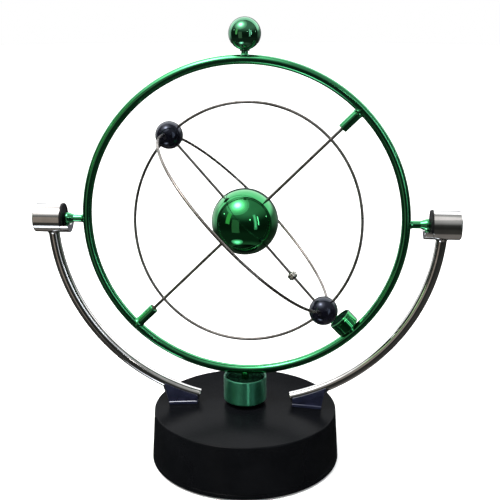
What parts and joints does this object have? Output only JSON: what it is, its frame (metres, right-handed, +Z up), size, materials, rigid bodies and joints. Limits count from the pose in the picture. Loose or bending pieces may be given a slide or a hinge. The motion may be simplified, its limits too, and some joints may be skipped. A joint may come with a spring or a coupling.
{
  "type": "kinetic orbital desk toy",
  "caption": "Battery-driven kinetic desk toy: a plated ring rocks between curved arms on a round base while a rotor of wire rings and balls spins inside it.",
  "frame": {"origin": "centre of the surface that the base stands on, straight below the pivot axis", "axes": "+Z up, +X along the pivot axis towards the arm on the side of the side magnet, +Y to the rear"},
  "size_m": [0.227, 0.1276, 0.243],
  "materials": {
    "satin_black": "satin moulded plastic",
    "gloss_black": "high-gloss moulded plastic",
    "chrome": "polished chrome plating",
    "green_metal": "mirror-bright green plating",
    "green_plastic": "mirror-bright green plating on plastic",
    "wire_steel": "drawn steel wire, polished",
    "dark_wire": "dark steel wire, polished",
    "screw_steel": "zinc-plated steel",
    "magnet_metal": "nickel-plated magnet",
    "bead_metal": "nickel-plated brass",
    "brass": "turned brass",
    "copper": "enamelled copper winding",
    "iron": "soft iron",
    "bobbin_plastic": "natural plastic",
    "circuit": "glass-fibre circuit board",
    "part_black": "moulded electronic parts",
    "cell_jacket": "steel cell can in a plain printed sleeve",
    "lead_jacket": "insulated lead",
    "rubber": "soft rubber"
  },
  "bodies": {
    "base": {"base_shell": "satin_black", "battery_cells": "cell_jacket", "battery_contacts": "screw_steel", "battery_door": "satin_black", "battery_door_screw": "screw_steel", "battery_leads": "lead_jacket", "battery_springs": "screw_steel", "board_parts": "part_black", "board_screws": "screw_steel", "bottom_plate": "satin_black", "bottom_screws": "screw_steel", "circuit_board": "circuit", "coil_bobbin": "bobbin_plastic", "coil_core": "iron", "coil_leads": "copper", "coil_winding": "copper", "left_arm": "chrome", "left_bearing_cap": "gloss_black", "left_cup": "chrome", "left_saddle": "gloss_black", "right_arm": "chrome", "right_bearing_cap": "gloss_black", "right_cup": "chrome", "right_saddle": "gloss_black", "rubber_feet": "rubber", "saddle_screws": "screw_steel"},
    "swing_ring": {"outer_ring": "green_metal", "left_pivot_pin": "green_metal", "right_pivot_pin": "green_metal", "top_ball": "green_plastic", "top_ball_stud": "green_metal", "drive_magnet_housing": "green_plastic", "drive_magnet": "magnet_metal", "magnet_housing_lid": "green_plastic", "housing_stem": "green_metal", "side_magnet_housing": "green_plastic", "side_magnet": "magnet_metal", "upper_post": "green_metal", "lower_post": "green_metal", "upper_bush": "brass", "lower_bush": "brass"},
    "rotor": {"axle": "dark_wire", "centre_hub": "bobbin_plastic", "centre_ball_front": "green_plastic", "centre_ball_rear": "green_plastic", "upper_cross_rod": "dark_wire", "lower_cross_rod": "dark_wire", "meridian_ring": "dark_wire", "equatorial_ring": "wire_steel", "upper_ball": "gloss_black", "lower_ball": "gloss_black", "upper_ball_magnet": "magnet_metal", "lower_ball_magnet": "magnet_metal", "balance_bead": "bead_metal"}
  },
  "joints": [
    {"name": "ring_swing", "type": "hinge", "parent": "base", "child": "swing_ring", "pos_m": [0, 0, 0.137], "axis": [1, 0, 0], "range_deg": [-165, 165]},
    {"name": "rotor_spin", "type": "hinge", "parent": "swing_ring", "child": "rotor", "pos_m": [0, 0, 0.137], "axis": [0.7071, 0, 0.7071], "continuous": true}
  ]
}
